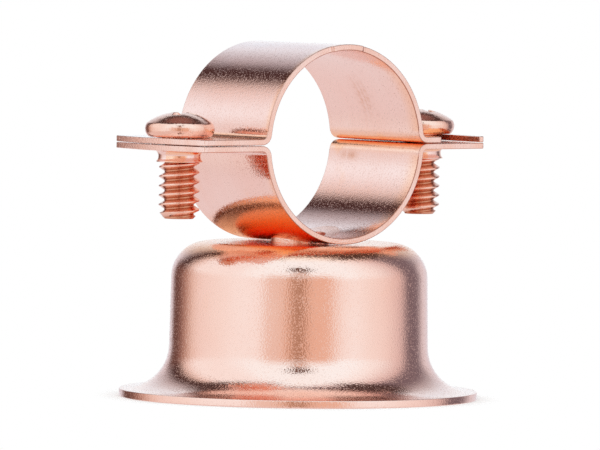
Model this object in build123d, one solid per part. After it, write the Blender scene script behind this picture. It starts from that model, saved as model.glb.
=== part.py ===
from build123d import *
from math import atan2, cos, radians, sin, sqrt, tan
import os

# Bell hanger: a drawn bell carries a two-part strap clamp for a tube.
# Millimetres, +Z up, tube along Y, ears along X, front at -Y, origin at the bell's base centre.

# Driving dimensions: the tube and the strap
TUBE_DIAMETER = 15.875
TUBE_CLEARANCE = 0.0625
STRAP_THICKNESS = 0.5
STRAP_WIDTH = 12.3
BEND_RADIUS = 0.45
EAR_CORNER_X = 15.12
EAR_CROWN_X = 15.87
EAR_GAP = 0.06
NIB_WIDTH = 3.4
NIB_REACH = 0.25

# Driving dimensions: the screws and what takes them
SCREW_X = 13.05
SCREW_PITCH = 0.79375
SCREW_MAJOR_RADIUS = 1.73
SCREW_LENGTH = 6.9
PITCH_LINE_SHARE = 0.3248
LEFT_SCREW_TURN = 38.7
RIGHT_SCREW_TURN = 12.0
TIP_CHAMFER = 0.35
HEAD_SEAT_RADIUS = 2.6
HEAD_SIDE_RADIUS = 2.95
HEAD_SIDE_HEIGHT = 0.73
HEAD_RIM_RADIUS = 2.8
HEAD_RIM_HEIGHT = 1.18
HEAD_HEIGHT = 2.12
RECESS_REACH = 1.45
RECESS_WIDTH = 0.75
RECESS_DEPTH = 1.3
RECESS_TAPER = 14.0
COLLAR_ROOT_RADIUS = 2.15
COLLAR_WAIST_RADIUS = 1.8
COLLAR_LIP_RADIUS = 2.0
COLLAR_HEIGHT = 1.0
THREAD_CLEARANCE = 0.03
HOLE_CLEARANCE = 0.12
SLOT_CLEARANCE = 0.07
SLOT_MOUTH_X = 14.67
SEAT_CLEARANCE = 0.05

# Driving dimensions: the bell and the eyelet
BELL_HEIGHT = 13.25
BELL_THICKNESS = 0.65
BELL_RIM_RADIUS = 15.3
BELL_RIM_LAND = 0.446
BELL_FLARE = 3.8
BELL_DRAFT = 1.0
BELL_SHOULDER = 3.05
WALL_SCREW_RADIUS = 2.2
EYELET_WALL = 0.3
EYELET_FLANGE_RADIUS = 3.4
EYELET_FLANGE_THICKNESS = 0.25
EYELET_LIP_RADIUS = 3.35
EYELET_LIP_THICKNESS = 0.35
SWIVEL_CLEARANCE = 0.06
REST_CLEARANCE = 0.05

# Derived levels and radii
bore_radius = TUBE_DIAMETER / 2 + TUBE_CLEARANCE
outer_radius = bore_radius + STRAP_THICKNESS
axis_z = BELL_HEIGHT + REST_CLEARANCE + outer_radius
half_width = STRAP_WIDTH / 2
thread_radius = SCREW_MAJOR_RADIUS - PITCH_LINE_SHARE * SCREW_PITCH
tapped_radius = thread_radius + THREAD_CLEARANCE
hole_radius = SCREW_MAJOR_RADIUS + HOLE_CLEARANCE
barrel_radius = WALL_SCREW_RADIUS + EYELET_WALL
bell_hole_radius = barrel_radius + SWIVEL_CLEARANCE
reach = 40.0


def half_strap():
    """One half of the clamp about the tube's axis at the origin, ears at +Z, before holes.

    The bends are tangent to the ring: their centres stand at the ring's outer radius plus
    the bend radius from the tube's axis, and at the bend radius above the ear.
    """
    floor = EAR_GAP / 2
    top = floor + STRAP_THICKNESS
    centre_z = top + BEND_RADIUS
    centre_x = sqrt((outer_radius + BEND_RADIUS) ** 2 - centre_z ** 2)
    lean = atan2(centre_z, centre_x)

    def on_ring(radius, side):
        return (side * radius * cos(lean), 0, radius * sin(lean))

    def on_bend(radius, side):
        turn = (radians(180) + lean + radians(270)) / 2
        return (side * (centre_x + radius * cos(turn)), 0, centre_z + radius * sin(turn))

    outline = []
    for side in (1, -1):
        outline.append(Line((side * centre_x, 0, top), (side * reach, 0, top)))
        outline.append(Line((side * reach, 0, top), (side * reach, 0, floor)))
        outline.append(Line((side * reach, 0, floor), (side * centre_x, 0, floor)))
        outline.append(ThreePointArc(
            (side * centre_x, 0, top), on_bend(BEND_RADIUS, side), on_ring(outer_radius, side)))
        outline.append(ThreePointArc(
            (side * centre_x, 0, floor),
            on_bend(BEND_RADIUS + STRAP_THICKNESS, side),
            on_ring(bore_radius, side)))
    outline.append(ThreePointArc(
        on_ring(outer_radius, 1), (0, 0, outer_radius), on_ring(outer_radius, -1)))
    outline.append(ThreePointArc(
        on_ring(bore_radius, 1), (0, 0, bore_radius), on_ring(bore_radius, -1)))
    section = make_face(outline)
    sheet = extrude(section, amount=half_width, dir=(0, 1, 0), both=True)

    front_right = (EAR_CORNER_X, -half_width)
    back_right = (EAR_CORNER_X, half_width)
    front_left = (-EAR_CORNER_X, -half_width)
    back_left = (-EAR_CORNER_X, half_width)
    plan = make_face([
        Line(front_left, front_right),
        ThreePointArc(front_right, (EAR_CROWN_X, 0), back_right),
        Line(back_right, back_left),
        ThreePointArc(back_left, (-EAR_CROWN_X, 0), front_left)])
    return sheet & extrude(plan, amount=reach, both=True)


def tapped_collar(x):
    """The drawn collar under one lower ear, waisted between root and lip, as a solid plug."""
    ear_face = -EAR_GAP / 2 - STRAP_THICKNESS
    foot = ear_face - COLLAR_HEIGHT
    outline = make_face([
        Line((0, 0, ear_face), (COLLAR_ROOT_RADIUS, 0, ear_face)),
        ThreePointArc(
            (COLLAR_ROOT_RADIUS, 0, ear_face),
            (COLLAR_WAIST_RADIUS, 0, (ear_face + foot) / 2),
            (COLLAR_LIP_RADIUS, 0, foot)),
        Line((COLLAR_LIP_RADIUS, 0, foot), (0, 0, foot)),
        Line((0, 0, foot), (0, 0, ear_face))])
    return Pos(x, 0, 0) * revolve(outline, Axis.Z)


def make_lower_strap():
    """Half ring, two ears with tapped collars, and a coined seat for the eyelet."""
    strap = Rot(180, 0, 0) * half_strap()
    for x in (-SCREW_X, SCREW_X):
        strap += tapped_collar(x)
    for x in (-SCREW_X, SCREW_X):
        strap -= Pos(x, 0, 0) * Cylinder(tapped_radius, reach)
    floor_hole = Cylinder(barrel_radius, reach, align=(Align.CENTER, Align.CENTER, Align.MAX))
    strap -= floor_hole
    strap -= eyelet_seat()
    return Pos(0, 0, axis_z) * strap


def eyelet_seat():
    """The round saddle pressed into the ring's floor, about the tube's axis at the origin."""
    plug = Cylinder(EYELET_FLANGE_RADIUS, reach, align=(Align.CENTER, Align.CENTER, Align.MAX))
    depth = bore_radius + EYELET_FLANGE_THICKNESS
    saddle = Rot(90, 0, 0) * Cylinder(depth, reach)
    return plug & saddle


def make_eyelet():
    """Hollow rivet: saddle flange in the strap's floor, barrel, and a lip under the bell's top."""
    under = BELL_HEIGHT - BELL_THICKNESS - REST_CLEARANCE
    foot = under - EYELET_LIP_THICKNESS
    bore = Pos(0, 0, axis_z) * (Rot(90, 0, 0) * Cylinder(bore_radius, reach))
    barrel = Pos(0, 0, under) * Cylinder(
        barrel_radius, axis_z - under, align=(Align.CENTER, Align.CENTER, Align.MIN))
    flange = Pos(0, 0, axis_z) * eyelet_seat()
    round_off = EYELET_LIP_THICKNESS * sqrt(0.5)
    lip_outline = make_face([
        Line((0, 0, under), (EYELET_LIP_RADIUS, 0, under)),
        ThreePointArc(
            (EYELET_LIP_RADIUS, 0, under),
            (EYELET_LIP_RADIUS - EYELET_LIP_THICKNESS + round_off, 0, under - round_off),
            (EYELET_LIP_RADIUS - EYELET_LIP_THICKNESS, 0, foot)),
        Line((EYELET_LIP_RADIUS - EYELET_LIP_THICKNESS, 0, foot), (0, 0, foot)),
        Line((0, 0, foot), (0, 0, under))])
    lip = revolve(lip_outline, Axis.Z)
    solid = barrel + flange + lip
    solid -= bore
    solid -= Cylinder(WALL_SCREW_RADIUS, 2 * reach)
    return solid


def make_upper_strap():
    """Half ring with a round hole in the left ear and an open slot in the right ear.

    The slot's inner flank is the path of the right screw as the strap swings about the left one.
    """
    strap = half_strap()
    strap += Pos(0, -half_width, 0) * nib()
    strap -= Pos(-SCREW_X, 0, 0) * Cylinder(hole_radius, 4 * STRAP_THICKNESS)

    slot_radius = SCREW_MAJOR_RADIUS + SLOT_CLEARANCE
    swing_radius = 2 * SCREW_X - slot_radius
    mouth_y = -half_width - STRAP_THICKNESS

    def flank(y):
        return (sqrt(swing_radius ** 2 - y ** 2) - SCREW_X, y)

    slot = make_face([
        ThreePointArc(flank(0), flank(mouth_y / 2), flank(mouth_y)),
        Line(flank(mouth_y), (SLOT_MOUTH_X, mouth_y)),
        Line((SLOT_MOUTH_X, mouth_y), (SCREW_X + slot_radius, 0)),
        ThreePointArc((SCREW_X + slot_radius, 0), (SCREW_X, slot_radius), flank(0))])
    strap -= extrude(slot, amount=STRAP_THICKNESS * 2, both=True)
    return Pos(0, 0, axis_z) * strap


def nib():
    """The shear nib on the strap's edge at the top of the ring."""
    ring = Rot(90, 0, 0) * (Cylinder(outer_radius, NIB_REACH) - Cylinder(bore_radius, NIB_REACH))
    window = Pos(0, 0, outer_radius) * Box(NIB_WIDTH, 2 * NIB_REACH, 4 * STRAP_THICKNESS)
    return Pos(0, -NIB_REACH / 2, 0) * (ring & window)


def cross_recess(top):
    """Two crossing tapered slots, sunk from the given level."""
    wing = extrude(
        Plane.XY.offset(top) * Rectangle(2 * RECESS_REACH, RECESS_WIDTH),
        amount=-RECESS_DEPTH, taper=RECESS_TAPER)
    return wing + Rot(0, 0, 90) * wing


def make_screw(x, turn):
    """Machine screw on its seat, with the shank plain at the thread's pitch radius."""
    seat = axis_z + EAR_GAP / 2 + STRAP_THICKNESS + SEAT_CLEARANCE
    tip = -SCREW_LENGTH
    dome_radius = (HEAD_RIM_RADIUS ** 2 + (HEAD_HEIGHT - HEAD_RIM_HEIGHT) ** 2) / (
        2 * (HEAD_HEIGHT - HEAD_RIM_HEIGHT))
    mid_radius = HEAD_RIM_RADIUS / 2
    mid_height = HEAD_HEIGHT - dome_radius + sqrt(dome_radius ** 2 - mid_radius ** 2)
    outline = make_face([
        Line((0, 0, tip), (thread_radius - TIP_CHAMFER, 0, tip)),
        Line((thread_radius - TIP_CHAMFER, 0, tip), (thread_radius, 0, tip + TIP_CHAMFER)),
        Line((thread_radius, 0, tip + TIP_CHAMFER), (thread_radius, 0, 0)),
        Line((thread_radius, 0, 0), (HEAD_SEAT_RADIUS, 0, 0)),
        ThreePointArc(
            (HEAD_SEAT_RADIUS, 0, 0),
            (HEAD_SIDE_RADIUS, 0, HEAD_SIDE_HEIGHT),
            (HEAD_RIM_RADIUS, 0, HEAD_RIM_HEIGHT)),
        ThreePointArc(
            (HEAD_RIM_RADIUS, 0, HEAD_RIM_HEIGHT),
            (mid_radius, 0, mid_height),
            (0, 0, HEAD_HEIGHT)),
        Line((0, 0, HEAD_HEIGHT), (0, 0, tip))])
    screw = revolve(outline, Axis.Z)
    screw -= cross_recess(HEAD_HEIGHT)
    return Pos(x, 0, seat) * (Rot(0, 0, turn) * screw)


def make_bell():
    """Drawn bell: one sheet with a drafted wall, a shoulder, a flare and a flat rim."""
    slope = tan(radians(BELL_DRAFT))
    across = BELL_THICKNESS / cos(radians(BELL_DRAFT))
    ceiling = BELL_HEIGHT - BELL_THICKNESS

    flare_run = BELL_FLARE * tan(radians(90 - BELL_DRAFT) / 2)
    wall_foot = BELL_RIM_RADIUS - BELL_RIM_LAND - flare_run

    def wall(z):
        return wall_foot + (BELL_THICKNESS - z) * slope

    outside = FilletPolyline(
        (bell_hole_radius, 0, BELL_HEIGHT),
        (wall(BELL_HEIGHT), 0, BELL_HEIGHT),
        (wall(BELL_THICKNESS), 0, BELL_THICKNESS),
        (BELL_RIM_RADIUS, 0, BELL_THICKNESS),
        radius=(BELL_SHOULDER, BELL_FLARE))
    inside = FilletPolyline(
        (bell_hole_radius, 0, ceiling),
        (wall(ceiling) - across, 0, ceiling),
        (wall(0) - across, 0, 0),
        (BELL_RIM_RADIUS, 0, 0),
        radius=(BELL_SHOULDER - BELL_THICKNESS, BELL_FLARE + BELL_THICKNESS))
    rim = Line((BELL_RIM_RADIUS, 0, BELL_THICKNESS), (BELL_RIM_RADIUS, 0, 0))
    hole = Line((bell_hole_radius, 0, BELL_HEIGHT), (bell_hole_radius, 0, ceiling))
    return revolve(make_face(outside.edges() + inside.edges() + rim.edges() + hole.edges()), Axis.Z)


os.makedirs("parts", exist_ok=True)
export_step(make_bell(), "parts/bell.step")
export_step(make_eyelet(), "parts/eyelet.step")
export_step(make_lower_strap(), "parts/lower_strap.step")
export_step(make_upper_strap(), "parts/upper_strap.step")
export_step(make_screw(-SCREW_X, LEFT_SCREW_TURN), "parts/left_screw.step")
export_step(make_screw(SCREW_X, RIGHT_SCREW_TURN), "parts/right_screw.step")
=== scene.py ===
"""Bell hanger for half-inch copper tube, dressed on its CAD frame."""

import bpy
import numpy as np
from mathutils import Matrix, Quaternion, Vector
from mathutils.geometry import delaunay_2d_cdt


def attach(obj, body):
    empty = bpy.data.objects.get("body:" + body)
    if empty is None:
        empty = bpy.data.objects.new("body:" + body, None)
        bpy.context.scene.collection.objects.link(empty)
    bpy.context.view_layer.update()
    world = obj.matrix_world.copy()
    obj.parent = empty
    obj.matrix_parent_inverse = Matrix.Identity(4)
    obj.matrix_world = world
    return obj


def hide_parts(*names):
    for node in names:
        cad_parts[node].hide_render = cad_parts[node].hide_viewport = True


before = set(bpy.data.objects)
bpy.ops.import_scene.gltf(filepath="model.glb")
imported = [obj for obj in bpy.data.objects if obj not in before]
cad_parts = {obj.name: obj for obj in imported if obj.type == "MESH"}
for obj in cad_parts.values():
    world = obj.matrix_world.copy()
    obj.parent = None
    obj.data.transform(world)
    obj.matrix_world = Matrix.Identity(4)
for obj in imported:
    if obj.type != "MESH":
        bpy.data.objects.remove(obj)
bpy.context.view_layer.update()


# Bell: the standoff that meets the wall, drawn from one disc of sheet steel and copper plated.
# Its wall is slightly drafted, the shoulder and the flare are the radii of the draw tools,
# and the rim and the hole in the top are sheared square.
def arc(centre, radius, start, stop, count):
    """Points centre + radius * (cos a, sin a), with a running from start to stop in degrees."""
    a = np.radians(np.linspace(start, stop, count))
    return np.column_stack([centre[0] + radius * np.cos(a), centre[1] + radius * np.sin(a)])


def dense(path, step):
    """The same polyline with each of its parts divided evenly, into lengths of at most step."""
    divided = []
    for first, last in zip(path[:-1], path[1:]):
        count = int(np.ceil(np.round(np.linalg.norm(last - first) / step, 6)))
        share = np.linspace(0, 1, count, endpoint=False)[:, None]
        divided.append(first + share * (last - first))
    return np.vstack(divided + [path[-1:]])


def grid_faces(rows, columns, close_rows, close_columns, flip=False):
    """Two triangles for each cell of a grid whose points are numbered row by row."""
    i, j = np.meshgrid(
        np.arange(rows if close_rows else rows - 1),
        np.arange(columns if close_columns else columns - 1), indexing="ij")
    below = (i + 1) % rows * columns
    beside = (j + 1) % columns
    corners = np.stack([i * columns + j, i * columns + beside, below + beside, below + j], axis=-1)
    corners = corners.reshape(-1, 4)
    faces = np.concatenate([corners[:, [0, 1, 2]], corners[:, [0, 2, 3]]])
    return faces[:, ::-1] if flip else faces


def lathe(profile, count, closed=True):
    """Carry a profile of (r, z) points round Z: (r cos a, r sin a, z). The metal is on its left."""
    ring = np.vstack([profile[-1:], profile, profile[:1]]) if closed else profile
    reach = np.concatenate([[0], np.cumsum(np.hypot(*np.diff(ring, axis=0).T))])
    tangent = np.gradient(ring, reach, axis=0)
    tangent = tangent[1:-1] if closed else tangent
    tangent /= np.linalg.norm(tangent, axis=1, keepdims=True)
    a = np.linspace(0, 2 * np.pi, count, endpoint=False)
    outward = np.column_stack([tangent[:, 1], -tangent[:, 0]])
    points, normals = (
        np.stack([np.outer(r, np.cos(a)), np.outer(r, np.sin(a)), np.outer(z, np.ones(count))], axis=-1)
        for r, z in (profile.T, outward.T))
    return points.reshape(-1, 3), normals.reshape(-1, 3), grid_faces(len(profile), count, closed, True)


def smooth_step(value, start, stop):
    """0 before start, 1 after stop, and 3 u^2 - 2 u^3 between them."""
    u = np.clip((value - start) / (stop - start), 0, 1)
    return u * u * (3 - 2 * u)


def piece_from(name, patches, materials, painted_shade, rubbed=None):
    """Weld patches of (points in mm, normals, triangles, finish) where their points meet, as one mesh.

    A finish is a place in the list of materials. The fourth argument, a mask of (points, normals),
    gives from 0 to 1 how much painted shade and painted reflection each point gets: there the plate is
    laid over with its deep colour, for shade and for copper mirrored in nearby copper. rubbed gives, in
    the same way, how far it is scuffed.
    """
    counts = np.cumsum([0] + [len(patch[0]) for patch in patches])
    points = np.vstack([patch[0] for patch in patches])
    normals = np.vstack([patch[1] for patch in patches])
    faces = np.vstack([patch[2] + first for patch, first in zip(patches, counts)])
    finish = np.concatenate([np.full(len(patch[2]), patch[3]) for patch in patches])
    _, kept, welded = np.unique(np.round(points, 4), axis=0, return_index=True, return_inverse=True)
    welded = welded.reshape(-1)
    blended = np.stack([np.bincount(welded, weights=normals[:, k]) for k in range(3)], axis=-1)
    blended /= np.maximum(np.linalg.norm(blended, axis=1, keepdims=True), 1e-9)
    faces = welded[faces]
    a, b, c = faces.T
    whole = (a != b) & (b != c) & (c != a)
    mesh = bpy.data.meshes.new(name)
    millimetre = 0.001
    mesh.from_pydata((points[kept] * millimetre).tolist(), [], faces[whole].tolist())
    mesh.shade_smooth()
    for material in materials:
        mesh.materials.append(material)
    mesh.polygons.foreach_set("material_index", finish[whole].astype(np.int32))
    mesh.normals_split_custom_set_from_vertices(blended.tolist())
    # Point attributes: a mask of painted shade and painted reflection, and a mask of real rub marks.
    for mask_name, mask in (("painted_shade", painted_shade), ("rubbed", rubbed)):
        if mask:
            values = mask(points[kept], blended).astype(np.float32)
            mesh.attributes.new(mask_name, "FLOAT", "POINT").data.foreach_set("value", values)
    piece = bpy.data.objects.new(name, mesh)
    bpy.context.scene.collection.objects.link(piece)
    return piece


def plate_group():
    """The copper plate's finish: sparkling grain, faint rolling lines, slow changes of colour, stains,
    and painted shade and painted reflection in the deep colour wherever a mesh's mask attribute asks
    for it.
    """
    group = bpy.data.node_groups.new("copper plate", "ShaderNodeTree")
    colours = ("Pale", "Warm", "Stain_and_painted_shade", "Worn")
    values = ("Painted_shade", "Rubbed", "Stains", "Grain", "Rolling", "Satin", "Flecks")
    for kind, sockets in (("Vector", ("Vector", "Lines")), ("Color", colours), ("Float", values)):
        for socket in sockets:
            group.interface.new_socket(socket, in_out="INPUT", socket_type="NodeSocket" + kind)
    for socket, kind in (("Color", "Color"), ("Roughness", "Float"), ("Normal", "Vector")):
        group.interface.new_socket(socket, in_out="OUTPUT", socket_type="NodeSocket" + kind)
    nodes, links = group.nodes, group.links
    given = nodes.new("NodeGroupInput").outputs
    result = nodes.new("NodeGroupOutput").inputs

    def noise(place, scale, detail):
        texture = nodes.new("ShaderNodeTexNoise")
        texture.inputs["Scale"].default_value = scale
        texture.inputs["Detail"].default_value = detail
        links.new(place, texture.inputs["Vector"])
        return texture.outputs["Fac"]

    def stretched(value, start, stop):
        step = nodes.new("ShaderNodeMapRange")
        step.inputs["From Min"].default_value = start
        step.inputs["From Max"].default_value = stop
        links.new(value, step.inputs["Value"])
        return step.outputs["Result"]

    def tinted(factor, first, second):
        mix = nodes.new("ShaderNodeMix")
        mix.data_type = "RGBA"
        links.new(factor, mix.inputs["Factor"])
        links.new(first, mix.inputs["A"])
        links.new(second, mix.inputs["B"])
        return mix.outputs["Result"]

    def times_plus(value, factor, added=None):
        total = nodes.new("ShaderNodeMath")
        total.operation = "MULTIPLY_ADD" if added else "MULTIPLY"
        links.new(value, total.inputs[0])
        if isinstance(factor, float):
            total.inputs[1].default_value = factor
        else:
            links.new(factor, total.inputs[1])
        if added:
            links.new(added, total.inputs[2])
        return total.outputs["Value"]

    def bumped(height, strength, distance, under=None):
        bump = nodes.new("ShaderNodeBump")
        bump.inputs["Distance"].default_value = distance
        links.new(strength, bump.inputs["Strength"])
        links.new(height, bump.inputs["Height"])
        if under:
            links.new(under, bump.inputs["Normal"])
        return bump.outputs["Normal"]

    grains_per_metre = 7000.0
    stains_per_metre = 300.0
    clouds_per_metre = 160.0
    grain_height = 0.00003
    line_height = 0.000004
    painted_shade_haze = 0.05

    grain = noise(given["Vector"], grains_per_metre, 1.0)
    lines = noise(given["Lines"], 1.0, 3.0)
    cloud = noise(given["Vector"], clouds_per_metre, 3.0)
    stains = stretched(noise(given["Vector"], stains_per_metre, 5.0), 0.62, 0.76)
    streaks = stretched(lines, 0.35, 0.65)
    warmth = times_plus(streaks, given["Rolling"], stretched(cloud, 0.35, 0.7))
    handled = tinted(warmth, given["Pale"], given["Warm"])
    # The deep colour goes on the random stains and on the painted shade and reflection mask.
    depth = times_plus(stains, given["Stains"], given["Painted_shade"])
    coloured = tinted(depth, handled, given["Stain_and_painted_shade"])
    scuffs = times_plus(stretched(lines, 0.34, 0.52), given["Rubbed"])
    links.new(tinted(scuffs, coloured, given["Worn"]), result["Color"])
    flecked = times_plus(stretched(grain, 0.54, 0.65), given["Flecks"], given["Satin"])
    links.new(times_plus(given["Painted_shade"], painted_shade_haze, flecked), result["Roughness"])
    rolled = bumped(lines, given["Rolling"], line_height)
    links.new(bumped(grain, given["Grain"], grain_height, rolled), result["Normal"])
    return group


copper_plate = plate_group()
worn_plate = (0.70, 0.34, 0.21)


def plated(name, pale, warm, stain_and_painted_shade, stains, grain, rolling, satin, flecks, lines):
    """A plated metal: the shared finish with this piece's colours, grain and line direction."""
    material = bpy.data.materials.new(name)
    material.use_nodes = True
    nodes, links = material.node_tree.nodes, material.node_tree.links
    metal = nodes["Principled BSDF"]
    metal.inputs["Metallic"].default_value = 1.0
    place = nodes.new("ShaderNodeTexCoord")
    stretch = nodes.new("ShaderNodeMapping")
    stretch.inputs["Scale"].default_value = lines
    links.new(place.outputs["Object"], stretch.inputs["Vector"])
    finish = nodes.new("ShaderNodeGroup")
    finish.node_tree = copper_plate
    links.new(place.outputs["Object"], finish.inputs["Vector"])
    links.new(stretch.outputs["Vector"], finish.inputs["Lines"])
    # The first attribute paints shade and reflection into the colour; the second marks real scuffs.
    for socket in ("Painted_shade", "Rubbed"):
        mask = nodes.new("ShaderNodeAttribute")
        mask.attribute_name = socket.lower()
        links.new(mask.outputs["Fac"], finish.inputs[socket])
    for socket, colour in (("Pale", pale), ("Warm", warm), ("Stain_and_painted_shade", stain_and_painted_shade), ("Worn", worn_plate)):
        finish.inputs[socket].default_value = (*colour, 1.0)
    for socket, value in (
            ("Stains", stains), ("Grain", grain), ("Rolling", rolling),
            ("Satin", satin), ("Flecks", flecks)):
        finish.inputs[socket].default_value = value
    links.new(finish.outputs["Color"], metal.inputs["Base Color"])
    links.new(finish.outputs["Roughness"], metal.inputs["Roughness"])
    links.new(finish.outputs["Normal"], metal.inputs["Normal"])
    return material


bell_height = 13.25
bell_gauge = 0.65
bell_rim = 15.3
bell_land = 0.446
bell_flare = 3.8
bell_shoulder = 3.05
bell_draft = 1.0
bell_hole = 2.56
bell_edge = 0.07
bell_turns = 216
bell_step = 0.3

slope = np.tan(np.radians(bell_draft))
flare_run = bell_flare * np.tan(np.radians(90 - bell_draft) / 2)
shoulder_run = bell_shoulder * np.tan(np.radians(90 - bell_draft) / 2)
foot = bell_rim - bell_land - flare_run
crown = foot - (bell_height - bell_gauge) * slope
flare_centre = (bell_rim - bell_land, bell_gauge + bell_flare)
shoulder_centre = (crown - shoulder_run, bell_height - bell_shoulder)

bell_profile = np.vstack([
    arc((bell_rim - bell_edge, bell_edge), bell_edge, -90, 0, 6),
    arc((bell_rim - bell_edge, bell_gauge - bell_edge), bell_edge, 0, 90, 6),
    arc(flare_centre, bell_flare, 270, 180 + bell_draft, 40),
    arc(shoulder_centre, bell_shoulder, bell_draft, 90, 36),
    arc((bell_hole + bell_edge, bell_height - bell_edge), bell_edge, 90, 180, 5),
    arc((bell_hole + bell_edge, bell_height - bell_gauge + bell_edge), bell_edge, 180, 270, 5),
    arc(shoulder_centre, bell_shoulder - bell_gauge, 90, bell_draft, 30),
    arc(flare_centre, bell_flare + bell_gauge, 180 + bell_draft, 270, 40)])
bell_profile = dense(np.vstack([bell_profile, bell_profile[:1]]), bell_step)[:-1]

# The bell's deep orange is painted reflection and shade, laid on the top that lies under the strap.
bell_copper = plated(
    "bell copper plate", pale=(0.95, 0.65, 0.545), warm=(0.94, 0.61, 0.50), stain_and_painted_shade=(1.0, 0.52, 0.29),
    stains=0.1, grain=0.45, rolling=0.1, satin=0.085, flecks=0.26, lines=(900, 900, 60))


def painted_shade_under_strap(points, normals):
    """Painted shade and painted reflection on the bell's flat top, which lies under the strap, fading
    out down its shoulder.
    """
    depth = 0.9
    fade_from = bell_height - 1.35
    fade_to = bell_height - 0.45
    return depth * smooth_step(points[:, 2], fade_from, fade_to) * (normals[:, 2] > 0)


bell = piece_from("bell_shell", [(*lathe(bell_profile, bell_turns), 0)], [bell_copper], painted_shade_under_strap)
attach(bell, "base")
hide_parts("bell")


# Lower strap: a half ring blanked from strip, bent to shape and plated. Each ear is pierced and
# drawn down into a collar, which is then tapped for its screw. The floor has a coined seat
# for the eyelet that holds the strap on the bell.
strap_gauge = 0.5
strap_width = 12.3
strap_edge = 0.075
corner_cut = 0.12
outline_step = 0.25
bore_radius = 8.0
bend_inside = 0.45
ear_gap = 0.06
ear_corner = 15.12
ear_crown = 15.87
screw_x = 13.05
clearance = 0.05
axis_height = bell_height + clearance + bore_radius + strap_gauge

ring_middle = bore_radius + strap_gauge / 2
bend_middle = bend_inside + strap_gauge / 2
full_turn = np.arccos((ear_gap / 2 + strap_gauge + bend_inside) / (ring_middle + bend_middle))
bent_run = full_turn * (ring_middle + bend_middle)
ear_shift = bent_run - (ring_middle + bend_middle) * np.sin(full_turn)


def wrap(s, y, h):
    """Bend the flat blank: s is the run along it from the ring's middle, h the height off mid-sheet.

    The ring turns by a = s / R up to the full turn, the bend turns back by b, and the normal leans
    by t = a - b: x = R sin a + r (sin a - sin t) + flat + h sin t, and z the same with cosines.
    """
    along = np.abs(s)
    a = np.minimum(along / ring_middle, full_turn)
    b = np.clip((along - full_turn * ring_middle) / bend_middle, 0, full_turn)
    t = a - b
    flat = np.maximum(along - bent_run, 0)
    x = ring_middle * np.sin(a) + bend_middle * (np.sin(a) - np.sin(t)) + flat + h * np.sin(t)
    z = ring_middle * np.cos(a) + bend_middle * (np.cos(a) - np.cos(t)) + h * np.cos(t)
    side = np.sign(s)
    points = np.stack([side * x, y, z], axis=-1)
    normals = np.stack([side * np.sin(t), np.zeros_like(t), np.cos(t)], axis=-1)
    ahead = np.stack([np.cos(t), np.zeros_like(t), -side * np.sin(t)], axis=-1)
    return points, normals, ahead


def mitres(loop):
    """At each point of a loop, the step that moves both its edges out of the metal by one unit."""
    ahead = np.roll(loop, -1, axis=0) - loop
    ahead /= np.linalg.norm(ahead, axis=1, keepdims=True)
    out = np.column_stack([ahead[:, 1], -ahead[:, 0]])
    before = np.roll(out, 1, axis=0)
    return (out + before) / (1 + np.sum(out * before, axis=1, keepdims=True))


def softened(corners, radius):
    """A closed polygon with each corner cut by a short curve: (1-u)^2 P + 2u(1-u) C + u^2 Q."""
    to_next = np.roll(corners, -1, axis=0) - corners
    length = np.linalg.norm(to_next, axis=1, keepdims=True)
    cut_next = np.minimum(radius, 0.45 * length) / length
    first = corners - np.roll(cut_next * to_next, 1, axis=0)
    last = corners + cut_next * to_next
    u = np.linspace(0, 1, 5)[None, :, None]
    curve = (1 - u) ** 2 * first[:, None] + 2 * u * (1 - u) * corners[:, None] + u ** 2 * last[:, None]
    return curve.reshape(-1, 2)


def enclosed(points, loop):
    """Which points lie in a loop: a line from them along +s crosses it an odd number of times."""
    s, y = points[:, :1], points[:, 1:]
    s0, y0 = loop.T
    s1, y1 = np.roll(loop, -1, axis=0).T
    rise = np.where(y1 == y0, 1.0, y1 - y0)
    ahead = s < s0 + (y - y0) * (s1 - s0) / rise
    return np.sum(((y0 > y) != (y1 > y)) & ahead, axis=1) % 2 == 1


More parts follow.
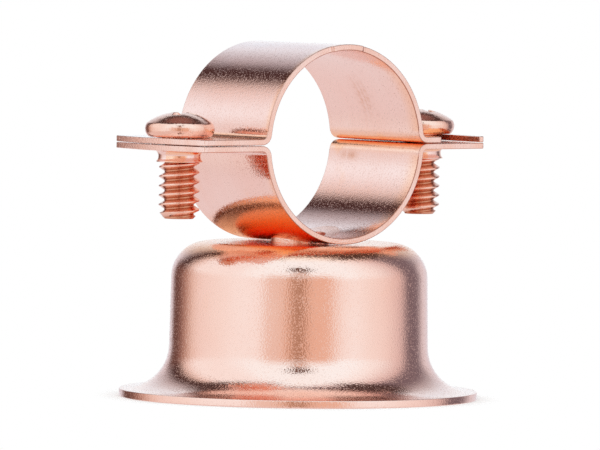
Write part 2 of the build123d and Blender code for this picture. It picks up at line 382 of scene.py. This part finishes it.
def bent_sheet(outline, round_holes, open_holes):
    """The blank's two faces and its sheared edges, bent.

    Loops are in (s, y) with the metal on their left. Edges are rounded by a quarter circle on each
    side; an open hole, given as (centre, loop), has no edge of its own.
    """
    half = strap_gauge / 2
    rise = np.radians(np.concatenate([np.linspace(90, 0, 5), np.linspace(0, -90, 5)]))
    level = np.repeat([1, -1], 5) * (half - strap_edge) + strap_edge * np.sin(rise)
    inset = -strap_edge * (1 - np.cos(rise))
    patches = []
    cut_loops = []
    for loop in [outline] + [loop for _, loop in round_holes]:
        out = mitres(loop)
        flat = loop[None] + inset[:, None, None] * out[None]
        heights = np.broadcast_to(level[:, None], flat.shape[:2])
        points, normals, ahead = wrap(flat[..., 0], flat[..., 1], heights)
        unit = out / np.linalg.norm(out, axis=1, keepdims=True)
        across = unit[None, :, :1] * ahead
        across[..., 1] += unit[None, :, 1]
        shade = np.cos(rise)[:, None, None] * across + np.sin(rise)[:, None, None] * normals
        faces = grid_faces(len(rise), len(loop), False, True, flip=True)
        patches.append((points.reshape(-1, 3), shade.reshape(-1, 3), faces, 1))
        cut_loops.append(flat[0])
    cut_loops += [loop for _, loop in open_holes]

    ear_step = 0.4
    edge_margin = 0.2
    hole_margin = 0.12
    columns = np.concatenate([
        np.linspace(0, full_turn * ring_middle, 48)[:-1],
        full_turn * ring_middle + np.linspace(0, full_turn * bend_middle, 12),
        np.arange(bent_run + ear_step, ear_corner + ear_shift - edge_margin, ear_step)])
    columns = np.concatenate([-columns[:0:-1], columns])
    last_row = strap_width / 2 - edge_margin
    rows = np.linspace(-strap_width / 2, strap_width / 2, 25)[1:-1]
    rows = np.concatenate([[-last_row], rows, [last_row]])
    inside = np.stack(np.meshgrid(columns, rows, indexing="ij"), axis=-1).reshape(-1, 2)
    for centre, loop in round_holes + open_holes:
        span = np.max(np.linalg.norm(loop - centre, axis=1)) + hole_margin
        inside = inside[np.linalg.norm(inside - centre, axis=1) > span]
    counts = np.cumsum([0] + [len(loop) for loop in cut_loops])
    edges = np.vstack([
        np.column_stack([np.arange(n), np.roll(np.arange(n), -1)]) + first
        for n, first in zip(np.diff(counts), counts)])
    flat = np.vstack(cut_loops + [inside])
    triangles_inside = 1
    _, _, faces, sources, _, _ = delaunay_2d_cdt(
        [Vector(p) for p in flat.tolist()], edges.tolist(), [], triangles_inside, 1e-7)
    flat = flat[[source[0] for source in sources]]
    faces = np.array(faces)
    for loop in cut_loops[1:]:
        faces = faces[~enclosed(flat[faces].mean(axis=1), loop)]
    for side in (1, -1):
        points, normals, _ = wrap(flat[:, 0], flat[:, 1], np.full(len(flat), side * half))
        patches.append((points, side * normals, faces[:, ::side], 0))
    return patches


def circle(centre, radius, count):
    """A round hole's loop, clockwise, so that the metal is on its left."""
    a = np.linspace(0, -2 * np.pi, count, endpoint=False)
    return np.asarray(centre) + radius * np.column_stack([np.cos(a), np.sin(a)])


def turned_down(patches):
    """Turn patches half round about the tube's axis: (x, y, z) to (x, -y, -z)."""
    half_turn = np.array([1, -1, -1])
    return [(points * half_turn, normals * half_turn, *rest) for points, normals, *rest in patches]


def moved(patches, offset):
    """The same patches, shifted by an offset in mm."""
    return [(points + np.asarray(offset), *rest) for points, *rest in patches]


def ear_end(side):
    """The ear's convex end, from its front corner to its back corner, as (x, y)."""
    y = np.linspace(-strap_width / 2, strap_width / 2, 25) * side
    x = ear_crown - (ear_crown - ear_corner) * (2 * y / strap_width) ** 2
    return np.column_stack([side * x, y])


def on_blank(plan):
    """Points of an ear's plan (x, y), measured along the flat blank instead."""
    return np.column_stack([plan[:, 0] + np.sign(plan[:, 0]) * ear_shift, plan[:, 1]])


def circle_through(first, second, third, count):
    """Points on the circle through three points, from the first to the third, the short way."""
    p, q, r = (np.array(point) for point in (first, second, third))
    system = 2 * np.array([q - p, r - p])
    centre = np.linalg.solve(system, np.array([q @ q - p @ p, r @ r - p @ p]))
    start, stop = (np.degrees(np.arctan2(*(point - centre)[::-1])) for point in (p, r))
    stop += 360 * np.round((start - stop) / 360)
    return arc(centre, np.linalg.norm(p - centre), start, stop, count)


collar_root = 2.15
collar_waist = 1.8
collar_lip = 2.0
collar_height = 1.0
collar_turns = 96
tapped_radius = 1.502
mouth_round = 0.12
foot_round = 0.06
lip_round = 0.05
lip_inset = 0.02
ear_under = ear_gap / 2 + strap_gauge
collar_foot = ear_under + collar_height
lip_height = collar_foot - lip_round
collar_profile = np.vstack([
    [[collar_root, ear_gap / 2]],
    arc((tapped_radius + mouth_round, ear_gap / 2 + mouth_round), mouth_round, 270, 180, 5),
    arc((tapped_radius + foot_round, collar_foot - foot_round), foot_round, 180, 90, 4),
    arc((collar_lip - lip_inset - lip_round, lip_height), lip_round, 90, 20, 5),
    circle_through(
        (collar_lip - lip_inset, lip_height), (collar_waist, (ear_under + collar_foot) / 2),
        (collar_root, ear_under), 14)])
collar = (*lathe(collar_profile[::-1], collar_turns, closed=False), 0)

seat_radius = 3.42
seat_hole = 2.5
seat_sink = 0.25
seat_turns = 120
seat_floor = bore_radius + seat_sink
strap_outside = bore_radius + strap_gauge
seat_r = np.array([seat_radius, seat_radius, seat_hole, seat_hole, seat_radius])
seat_depth = np.array([bore_radius, seat_floor, seat_floor, strap_outside, strap_outside])
seat_a = np.linspace(0, -2 * np.pi, seat_turns, endpoint=False)
seat_x = np.outer(seat_r, np.cos(seat_a))
seat_y = np.outer(seat_r, np.sin(seat_a))
seat_rim_s = ring_middle * np.arcsin(seat_x[0] / bore_radius)
seat_lean = np.arcsin(seat_x / seat_depth[:, None])
seat_lean[-1] = seat_rim_s / ring_middle
seat_points = np.stack(
    [seat_depth[:, None] * np.sin(seat_lean), seat_y, seat_depth[:, None] * np.cos(seat_lean)], axis=-1)
seat_normals = np.stack([-np.sin(seat_lean), np.zeros_like(seat_lean), -np.cos(seat_lean)], axis=-1)
seat_normals[3:] *= -1
seat_faces = grid_faces(len(seat_r), seat_turns, False, True)
seat = (seat_points.reshape(-1, 3), seat_normals.reshape(-1, 3), seat_faces, 0)

lower_outline = np.vstack([on_blank(ear_end(1)), on_blank(ear_end(-1))])
lower_outline = softened(lower_outline, corner_cut)
lower_outline = dense(np.vstack([lower_outline, lower_outline[:1]]), outline_step)[:-1]
screw_run = screw_x + ear_shift
lower_patches = bent_sheet(lower_outline, [], [
    ((screw_run, 0), circle((screw_run, 0), collar_root, collar_turns)),
    ((-screw_run, 0), circle((-screw_run, 0), collar_root, collar_turns)),
    ((0, 0), np.column_stack([seat_rim_s, seat_y[0]]))])
lower_patches += moved([collar], (screw_x, 0, 0)) + moved([collar], (-screw_x, 0, 0)) + [seat]

# The straps' deep orange is painted reflection and shade where strap and bell mirror each other and
# along edges; it also colours real stains.
strap_copper = plated(
    "strap copper plate", pale=(0.95, 0.70, 0.63), warm=(0.94, 0.65, 0.57), stain_and_painted_shade=(1.0, 0.52, 0.27),
    stains=0.4, grain=0.3, rolling=0.3, satin=0.06, flecks=0.26, lines=(60, 1500, 60))
# The sheared edges' dark deep colour is painted shade on the edges and in the slot and hole walls.
sheared_copper = plated(
    "sheared copper edge", pale=(0.95, 0.69, 0.61), warm=(0.92, 0.58, 0.47), stain_and_painted_shade=(0.55, 0.25, 0.17),
    stains=0.5, grain=1.0, rolling=0.5, satin=0.24, flecks=0.2, lines=(900, 900, 120))


def painted_shade_along_edges(place, normals):
    """Painted shade and painted reflection along a strap's edges: their roundings and a margin by them,
    wider in the bore.
    """
    bore_margin = 1.9
    outside_margin = 0.7
    bore_rounding = 1.0
    outside_rounding = 0.6
    margin_depth = 0.45
    ring_start = 1.0
    from_axis = np.hypot(place[:, 0], place[:, 2])
    on_ring = np.abs(place[:, 2]) > ring_start
    radial = np.abs(normals[:, 0] * place[:, 0] + normals[:, 2] * place[:, 2]) / from_axis
    off_face = np.where(on_ring, radial, np.abs(normals[:, 2]))
    rounding = (np.abs(normals[:, 1]) > 0.2) & (off_face > 0.3)
    in_bore = on_ring & (from_axis < ring_middle)
    margin = np.where(in_bore, bore_margin, outside_margin)
    nearness = smooth_step(-place[:, 1], strap_width / 2 - margin, strap_width / 2 - 0.05)
    on_face = np.abs(normals[:, 1]) < 0.2
    on_rounding = np.where(in_bore, bore_rounding, outside_rounding) * rounding
    return np.maximum(on_rounding, margin_depth * nearness * on_face * on_ring)


def painted_shade_between_ears(place, normals):
    """Painted shade and painted reflection in the bends beside the parting line at z = 0 and, faintly,
    on the ears' meeting faces.
    """
    bend_depth = 0.8
    ear_depth = 0.2
    inward = normals[:, 2] * np.sign(place[:, 2]) < -0.05
    on_ear = smooth_step(np.abs(place[:, 0]), bore_radius + 0.7, bore_radius + 1.6)
    depth = bend_depth + (ear_depth - bend_depth) * on_ear
    return inward * depth * smooth_step(-np.abs(place[:, 2]), -1.2, -0.1)


def bore_stain(place, normals, centre, spread):
    """A stain on the bore's right side: exp(-(dy / spread)^2 - (dz / spread)^2) about centre (y, z)."""
    off = (place[:, 1:] - np.array(centre)) / np.array(spread)
    in_bore = (place[:, 0] > 0) & (np.sum(place[:, ::2] * normals[:, ::2], axis=1) < 0)
    return in_bore * np.exp(-np.sum(off ** 2, axis=1))


def lower_strap_painted_shade(points, normals):
    """Painted shade and painted reflection on the lower strap: its bends, its underside and the ear
    under the slot.
    """
    fade_from = 3.6
    fade_to = 6.0
    lean = 0.2
    place = points - (0, 0, axis_height)
    below = -place[:, 2] - lean * (place[:, 1] + strap_width / 2)
    underside = smooth_step(below, fade_from, fade_to) * (normals[:, 2] < 0)
    under_slot = smooth_step(place[:, 0], screw_x - 2.2, screw_x - 1.6)
    under_slot *= smooth_step(-place[:, 1], -2.0, -1.0)
    under_slot *= (normals[:, 2] > 0.9) & (np.abs(place[:, 2]) < ear_gap)
    return np.maximum.reduce([
        underside, under_slot, painted_shade_between_ears(place, normals), painted_shade_along_edges(place, normals)])


def lower_mark(points, normals):
    """A small stain in the lower half of the bore, beside the right bend."""
    place = points - (0, 0, axis_height)
    return bore_stain(place, normals, centre=(3.3, -1.3), spread=(0.9, 0.35))


lower_strap = piece_from(
    "lower_strap_sheet", moved(turned_down(lower_patches), (0, 0, axis_height)),
    [strap_copper, sheared_copper], lower_strap_painted_shade, lower_mark)
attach(lower_strap, "clamp")
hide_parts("lower_strap")


# Eyelet: a hollow rivet through the strap's floor and the bell's top, rolled over underneath.
# The wall screw goes through it. Its shape is the CAD solid's, with the plate's finish.
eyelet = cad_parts["eyelet"]
eyelet_copper = plated(
    "eyelet copper plate", pale=(0.94, 0.62, 0.52), warm=(0.90, 0.52, 0.40), stain_and_painted_shade=(0.90, 0.44, 0.29),
    stains=0.3, grain=0.5, rolling=0.2, satin=0.14, flecks=0.2, lines=(300, 300, 300))
eyelet.data.materials.clear()
eyelet.data.materials.append(eyelet_copper)


# Upper strap: the same half ring with a round hole in the left ear. The right ear is slotted from
# the front, so that the strap swings clear when the right screw is slackened.
# A shear nib is left on its front edge at the top.
hole_radius = 1.85
hole_turns = 72
slot_radius = 1.8
slot_mouth = 14.67
nib_half = 1.7
nib_reach = 0.25
nib_taper = 0.08
front = -strap_width / 2

swing = 2 * screw_x - slot_radius
flank_y = np.linspace(front, 0, 24)
flank = np.column_stack([np.sqrt(swing ** 2 - flank_y ** 2) - screw_x, flank_y])
slot_end = arc((screw_x, 0), slot_radius, 180, 0, 24)[1:-1]
outer_flank = np.array([[screw_x + slot_radius, 0], [slot_mouth, front]])
nib_foot = ring_middle * np.arcsin((nib_half + nib_taper) / strap_outside)
nib_top = ring_middle * np.arcsin((nib_half - nib_taper) / strap_outside)
nib = np.array([
    [-nib_foot, front], [-nib_top, front - nib_reach], [nib_top, front - nib_reach], [nib_foot, front]])
upper_outline = np.vstack([
    nib, on_blank(flank), on_blank(slot_end), on_blank(outer_flank),
    on_blank(ear_end(1)), on_blank(ear_end(-1))])
upper_outline = softened(upper_outline, corner_cut)
upper_outline = dense(np.vstack([upper_outline, upper_outline[:1]]), outline_step)[:-1]
upper_patches = bent_sheet(
    upper_outline, [((-screw_run, 0), circle((-screw_run, 0), hole_radius, hole_turns))], [])


def upper_strap_painted_shade(points, normals):
    """Painted shade and painted reflection on the upper strap: its bends, the ears' inner corners, and
    its slot and hole.
    """
    wall_depth = 0.45
    corner_depth = 0.6
    place = points - (0, 0, axis_height)
    in_ear = (place[:, 2] < ear_gap + strap_gauge) & (np.abs(place[:, 1]) < strap_width / 2 - 0.1)
    by_screw = np.abs(np.abs(place[:, 0]) - screw_x) < hole_radius + 0.2
    wall = in_ear & by_screw & (np.abs(normals[:, 2]) < 0.5)
    corner = smooth_step(-place[:, 2], -1.1, -0.7) * smooth_step(-np.abs(place[:, 0]), -11.5, -9.5)
    corner *= corner_depth * (normals[:, 2] > 0.2)
    return np.maximum.reduce([
        wall_depth * wall, corner, painted_shade_between_ears(place, normals), painted_shade_along_edges(place, normals)])


def upper_mark(points, normals):
    """Scuffs in the upper half of the bore, broken up by 0.6 + 0.4 sin(9 z + 4 y)."""
    place = points - (0, 0, axis_height)
    broken = 0.6 + 0.4 * np.sin(9 * place[:, 2] + 4 * place[:, 1])
    return broken * bore_stain(place, normals, centre=(0.3, 3.8), spread=(0.7, 1.4))


upper_strap = piece_from(
    "upper_strap_sheet", moved(upper_patches, (0, 0, axis_height)),
    [strap_copper, sheared_copper], upper_strap_painted_shade, upper_mark)
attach(upper_strap, "strap")
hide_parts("upper_strap")


# Screws: steel machine screws with a cold-headed pan head and cross recess, a rolled
# right-hand thread and a short chamfered tip, copper plated like the rest.
pitch = 0.79375
thread_crest = 1.73
thread_root = 1.26
screw_length = 6.9
root_flat = 0.16
flank_share = 0.7
tip_radius = 1.22
tip_slope = 0.9
head_height = 2.12
head_rim = (2.8, 1.18)
head_side = (2.95, 0.73)
head_seat = 2.6
recess_reach = 1.45
recess_half = 0.375
recess_depth = 1.3
wing_taper = 14
cone_radius = 0.8
cone_slope = 1.9
neck_radius = 1.5
neck_length = 0.12
screw_turns = 192
shank_rows = 190
dome_rows = 110


def thread(turn):
    """The shank: radius over (angle, height), a V thread whose phase is z / pitch - a / 2 pi + turn.

    It ends in a chamfered tip below and in a plain neck under the head.
    """
    a = np.linspace(0, 2 * np.pi, screw_turns, endpoint=False)
    z = np.linspace(-screw_length, 0, shank_rows)
    aa, zz = np.meshgrid(a, z)
    phase = np.mod(zz / pitch - aa / (2 * np.pi) + turn, 1.0)
    ridge = 1 - np.abs(2 * phase - 1)
    ridge = np.clip((ridge - root_flat) / flank_share, 0, 1)
    r = thread_root + (thread_crest - thread_root) * ridge
    r = np.minimum(r, tip_radius + (zz + screw_length) * tip_slope)
    r = np.where(zz > -neck_length, neck_radius, r)
    points = np.stack([r * np.cos(aa), r * np.sin(aa), zz], axis=-1)
    down = np.gradient(points, axis=0)
    round_about = (np.roll(points, -1, axis=1) - np.roll(points, 1, axis=1)) / 2
    normals = np.cross(round_about, down)
    normals /= np.linalg.norm(normals, axis=-1, keepdims=True)
    shank = (points.reshape(-1, 3), normals.reshape(-1, 3), grid_faces(len(z), len(a), False, True), 0)
    rim = points[0]
    tip = np.stack([rim, rim * np.array([0, 0, 1])])
    downward = np.broadcast_to(np.array([0.0, 0.0, -1.0]), tip.shape)
    tip_faces = grid_faces(2, len(a), False, True, flip=True)
    return [shank, (tip.reshape(-1, 3), downward.reshape(-1, 3), tip_faces, 0)]


def head(turn):
    """The head: a barrel side under a spherical dome, with tapered wings sunk into the dome.

    At (u, v) a wing's depth is its distance inside the nearer of its sides over tan(wing taper), and
    a cone joins the wings in the middle.
    """
    rim_round = 0.05
    chord = head_rim[0]
    sag = head_height - head_rim[1]
    dome = (chord ** 2 + sag ** 2) / (2 * sag)
    rho = np.linspace(chord - rim_round, 0, dome_rows)
    a = np.linspace(0, 2 * np.pi, screw_turns, endpoint=False)
    rr, aa = np.meshgrid(rho, a, indexing="ij")
    u = rr * np.cos(aa - turn)
    v = rr * np.sin(aa - turn)
    wing = np.minimum(recess_half - np.abs(v), recess_reach - np.abs(u))
    cross_wing = np.minimum(recess_half - np.abs(u), recess_reach - np.abs(v))
    sunk = np.clip(np.maximum(wing, cross_wing) / np.tan(np.radians(wing_taper)), 0, recess_depth)
    cone = np.clip((cone_radius - rr) * cone_slope, 0, recess_depth)
    hollow = np.maximum(sunk, cone)
    z = head_height - dome + np.sqrt(dome ** 2 - rr ** 2)
    z = np.minimum(z, np.where(hollow > 0, head_height - hollow - 0.02, z))
    points = np.stack([rr * np.cos(aa), rr * np.sin(aa), z], axis=-1)
    inward = np.gradient(points, axis=0)
    round_about = (np.roll(points, -1, axis=1) - np.roll(points, 1, axis=1)) / 2
    normals = np.cross(round_about, inward)
    normals[-1] = (0, 0, 1)
    normals /= np.maximum(np.linalg.norm(normals, axis=-1, keepdims=True), 1e-12)
    top = (points.reshape(-1, 3), normals.reshape(-1, 3), grid_faces(len(rho), len(a), False, True), 0)
    side = circle_through((head_seat, 0.0), head_side, head_rim, 26)
    rim_z = head_height - dome + np.sqrt(dome ** 2 - rho[0] ** 2)
    underside = [[neck_radius, 0.0], [2.0, 0.0]]
    rim = [[chord - 0.012, head_rim[1] + 0.004], [rho[0], rim_z]]
    profile = np.vstack([underside, side[1:-1], rim])
    return [top, (*lathe(profile, len(a), closed=False), 0)]


# The screws' dark deep colour is painted shade in the thread's grooves; it also colours real stains.
screw_copper = plated(
    "screw copper plate", pale=(0.95, 0.62, 0.50), warm=(0.92, 0.55, 0.42), stain_and_painted_shade=(0.64, 0.27, 0.16),
    stains=0.3, grain=0.45, rolling=0.2, satin=0.1, flecks=0.22, lines=(500, 500, 500))
seat_height = axis_height + ear_under + clearance


def painted_shade_in_threads(points, normals):
    """Painted shade in the thread's grooves, for a screw on either ear, without the flat of the tip."""
    groove_top = thread_crest - 0.14
    groove_bottom = thread_root + 0.02
    away = np.hypot(np.abs(points[:, 0]) - screw_x, points[:, 1])
    groove = smooth_step(-away, -groove_top, -groove_bottom)
    return groove * (points[:, 2] < seat_height) * (np.abs(normals[:, 2]) < 0.95)


for node, body, x, turn in (
        ("left_screw", "pivot_screw", -screw_x, 38.7), ("right_screw", "slot_screw", screw_x, 12.0)):
    patches = thread(turn / 360) + head(np.radians(turn))
    screw = piece_from(
        node + "_threaded", moved(patches, (x, 0, seat_height)), [screw_copper], painted_shade_in_threads)
    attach(screw, body)
    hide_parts(node)


# Studio: a pale floor that fades into a white surround, with soft panels to the left and right
# of the camera for the metal to mirror, and darker gaps between the panels.
floor_size = 0.16
floor_solid = 0.0140
floor_gone = 0.0175
floor_grey = 0.97
corners = ((-1, -1, 0), (1, -1, 0), (1, 1, 0), (-1, 1, 0))
floor_mesh = bpy.data.meshes.new("floor")
floor_mesh.from_pydata((floor_size * np.array(corners)).tolist(), [], [(0, 1, 2, 3)])
floor = bpy.data.objects.new("floor", floor_mesh)
bpy.context.scene.collection.objects.link(floor)
floor_paint = bpy.data.materials.new("pale floor")
floor_paint.use_nodes = True
nodes, links = floor_paint.node_tree.nodes, floor_paint.node_tree.links
nodes.clear()
place = nodes.new("ShaderNodeTexCoord")
away = nodes.new("ShaderNodeVectorMath")
away.operation = "LENGTH"
links.new(place.outputs["Object"], away.inputs[0])
fade = nodes.new("ShaderNodeMapRange")
fade.interpolation_type = "SMOOTHSTEP"
fade.inputs["From Min"].default_value = floor_solid
fade.inputs["From Max"].default_value = floor_gone
links.new(away.outputs["Value"], fade.inputs["Value"])
rays = nodes.new("ShaderNodeLightPath")
face = nodes.new("ShaderNodeNewGeometry")
unseen = fade.outputs["Result"]
for hidden in (rays.outputs["Is Glossy Ray"], face.outputs["Backfacing"]):
    either = nodes.new("ShaderNodeMath")
    either.operation = "MAXIMUM"
    links.new(unseen, either.inputs[0])
    links.new(hidden, either.inputs[1])
    unseen = either.outputs["Value"]
paint = nodes.new("ShaderNodeBsdfDiffuse")
paint.inputs["Color"].default_value = (floor_grey, floor_grey, floor_grey, 1)
clear = nodes.new("ShaderNodeBsdfTransparent")
mixed = nodes.new("ShaderNodeMixShader")
links.new(unseen, mixed.inputs["Fac"])
links.new(paint.outputs["BSDF"], mixed.inputs[1])
links.new(clear.outputs["BSDF"], mixed.inputs[2])
surface = nodes.new("ShaderNodeOutputMaterial")
links.new(mixed.outputs["Shader"], surface.inputs["Surface"])
floor_mesh.materials.append(floor_paint)

view_turn = 38.3
view_rise = 2.54
view_roll = 0.75
view_distance = 0.768
aim = np.array([0.0, 0.0, 0.01471])

world = bpy.data.worlds.new("studio")
world.use_nodes = True
bpy.context.scene.world = world
nodes, links = world.node_tree.nodes, world.node_tree.links
nodes.clear()
look = nodes.new("ShaderNodeTexCoord")
facing = nodes.new("ShaderNodeVectorRotate")
facing.rotation_type = "Z_AXIS"
facing.inputs["Angle"].default_value = np.radians(90 + view_turn)
links.new(look.outputs["Generated"], facing.inputs["Vector"])
parts = nodes.new("ShaderNodeSeparateXYZ")
links.new(facing.outputs["Vector"], parts.inputs["Vector"])
bearing = nodes.new("ShaderNodeMath")
bearing.operation = "ARCTAN2"
links.new(parts.outputs["Y"], bearing.inputs[0])
links.new(parts.outputs["X"], bearing.inputs[1])
share = nodes.new("ShaderNodeMapRange")
share.inputs["From Min"].default_value = -np.pi
share.inputs["From Max"].default_value = np.pi
links.new(bearing.outputs["Value"], share.inputs["Value"])


def ring_of_light(stops):
    """A colour ramp all round the object: (degrees from the camera, rightwards positive, colour)."""
    ring = nodes.new("ShaderNodeValToRGB")
    links.new(share.outputs["Result"], ring.inputs["Fac"])
    elements = ring.color_ramp.elements
    elements.remove(elements[-1])
    elements[0].position = stops[0][0] / 360 + 0.5
    elements[0].color = (*stops[0][1], 1)
    for degrees, colour in stops[1:]:
        elements.new(degrees / 360 + 0.5).color = (*colour, 1)
    return ring.outputs["Color"]


backdrop = (0.98, 1.07, 1.13)
backdrop_side = (0.78, 0.78, 0.86)
backdrop_top = (0.85, 0.99, 1.12)
backdrop_edge = (0.52, 0.52, 0.58)
panel = (1.01, 1.13, 1.22)
panel_side = (0.98, 1.03, 1.08)
panel_high = (1.03, 1.30, 1.46)
panel_edge = (0.94, 0.92, 0.95)
panel_turn = (0.84, 0.74, 0.71)
left_turn = (0.54, 0.37, 0.32)
left_brown = (0.27, 0.15, 0.13)
left_dark = (0.15, 0.08, 0.07)
left_deep = (0.07, 0.035, 0.035)
room = (0.86, 0.64, 0.54)
room_lit = (0.88, 0.77, 0.73)
opening = (0.45, 0.28, 0.20)
right_dim = (0.76, 0.67, 0.70)
right_dark = (0.20, 0.17, 0.21)
table = (0.86, 0.79, 0.81)
ceiling = (0.08, 0.05, 0.05)
ceiling_middle = (0.27, 0.14, 0.13)
camera_stand = (0.70, 0.56, 0.50)
camera_lens = (0.16, 0.09, 0.07)
white = (1.0, 1.0, 1.0)

low_ring = ring_of_light([
    (-180, backdrop), (-174, backdrop), (-166, backdrop_side), (-157, backdrop_side), (-151, left_dark),
    (-138, left_dark), (-130, left_brown), (-120, left_turn), (-111, panel_turn), (-100, panel_edge),
    (-80, panel_side), (-58, panel), (-36, panel), (-27, room_lit), (-16, room_lit), (-11, room),
    (-2, opening), (2, opening), (9, room), (26, room), (37, panel_side), (50, panel), (66, panel_side),
    (84, panel_edge), (103, right_dim), (115, right_dark), (132, right_dark), (146, backdrop_side),
    (166, backdrop_side), (174, backdrop), (180, backdrop)])
high_ring = ring_of_light([
    (-180, backdrop_top), (-170, backdrop_top), (-153, backdrop_edge), (-142, left_deep),
    (-132, left_deep), (-122, panel_turn), (-115, panel_edge), (-109, panel), (-66, panel),
    (-36, panel_high), (-27, room_lit), (-16, room_lit), (-11, room), (-2, opening), (2, opening),
    (9, room), (26, room), (38, panel_high), (48, panel_high), (76, panel), (104, right_dim),
    (116, right_dark), (136, right_dark), (152, backdrop_edge), (168, backdrop_top),
    (180, backdrop_top)])


def blend(factor, first, second):
    """A mix of two colours, each of them a socket or a plain colour."""
    mix = nodes.new("ShaderNodeMix")
    mix.data_type = "RGBA"
    links.new(factor, mix.inputs["Factor"])
    for socket, colour in (("A", first), ("B", second)):
        if isinstance(colour, tuple):
            mix.inputs[socket].default_value = (*colour, 1)
        else:
            links.new(colour, mix.inputs[socket])
    return mix.outputs["Result"]


def smooth_band(value, start, stop):
    """A smooth step from 0 to 1 as a value goes from start to stop."""
    step = nodes.new("ShaderNodeMapRange")
    step.interpolation_type = "SMOOTHSTEP"
    step.inputs["From Min"].default_value = start
    step.inputs["From Max"].default_value = stop
    links.new(value, step.inputs["Value"])
    return step.outputs["Result"]


def by_height(start, stop):
    """A smooth step from 0 to 1 between two elevations in degrees."""
    return smooth_band(parts.outputs["Z"], np.sin(np.radians(start)), np.sin(np.radians(stop)))


def near_point(bearing_degrees, height_degrees, outer, inner):
    """A round spot on the surround: 1 at its middle, fading from inner to outer degrees off it."""
    b, e = np.radians([bearing_degrees, height_degrees])
    near = nodes.new("ShaderNodeVectorMath")
    near.operation = "DOT_PRODUCT"
    near.inputs[1].default_value = (np.cos(e) * np.cos(b), np.cos(e) * np.sin(b), np.sin(e))
    links.new(facing.outputs["Vector"], near.inputs[0])
    return smooth_band(near.outputs["Value"], np.cos(np.radians(outer)), np.cos(np.radians(inner)))


def figured(operation, first, second):
    """One step of arithmetic on a socket and a socket or number."""
    step = nodes.new("ShaderNodeMath")
    step.operation = operation
    links.new(first, step.inputs[0])
    if isinstance(second, float):
        step.inputs[1].default_value = second
    else:
        links.new(second, step.inputs[1])
    return step.outputs["Value"]


wall_rise = (7, 20)
table_drop = (-12, -26)
above_camera_rise = (11, 34)
above_camera_side = (55, 42)
strip_middle = 0.06
strip_side = (0.17, 0.29)
strip_back = (-0.06, -0.2)
ceiling_spot = (180, 69, 35, 28)
ceiling_middle_spot = (180, 64, 19, 7)
camera_stand_spot = (1, 29, 9, 2)
camera_lens_spot = (1, 43, 10, 5)

surround = blend(by_height(*wall_rise), low_ring, high_ring)
off_camera = figured("ABSOLUTE", bearing.outputs["Value"], 0.0)
near_camera = smooth_band(off_camera, *np.radians(above_camera_side))
above_camera = figured("MULTIPLY", near_camera, by_height(*above_camera_rise))
surround = blend(above_camera, surround, panel_high)
surround = blend(by_height(*table_drop), surround, table)
off_strip = figured("ABSOLUTE", figured("SUBTRACT", parts.outputs["Y"], strip_middle), 0.0)
beside_strip = smooth_band(off_strip, *strip_side)
behind_strip = smooth_band(parts.outputs["X"], *strip_back)
beyond_strip = figured("MAXIMUM", beside_strip, behind_strip)
dark_overhead = figured("MULTIPLY", near_point(*ceiling_spot), beyond_strip)
surround = blend(dark_overhead, surround, ceiling)
surround = blend(near_point(*ceiling_middle_spot), surround, ceiling_middle)
surround = blend(near_point(*camera_stand_spot), surround, camera_stand)
surround = blend(near_point(*camera_lens_spot), surround, camera_lens)
rays = nodes.new("ShaderNodeLightPath")
seen = blend(rays.outputs["Is Glossy Ray"], white, surround)
shine = nodes.new("ShaderNodeBackground")
links.new(seen, shine.inputs["Color"])
world_out = nodes.new("ShaderNodeOutputWorld")
links.new(shine.outputs["Background"], world_out.inputs["Surface"])

turn, rise = np.radians([view_turn, view_rise])
towards = np.array([-np.sin(turn) * np.cos(rise), -np.cos(turn) * np.cos(rise), np.sin(rise)])
optics = bpy.data.cameras.new("camera")
optics.sensor_width = 36.0
optics.lens = 540.0
camera = bpy.data.objects.new("camera", optics)
camera.location = (aim + towards * view_distance).tolist()
upright = Vector((-towards).tolist()).to_track_quat("-Z", "Y")
camera.rotation_euler = (upright @ Quaternion((0, 0, 1), np.radians(view_roll))).to_euler()
bpy.context.scene.collection.objects.link(camera)
bpy.context.scene.camera = camera
bpy.context.scene.view_settings.view_transform = "Standard"
bpy.context.scene.cycles.glossy_bounces = 10
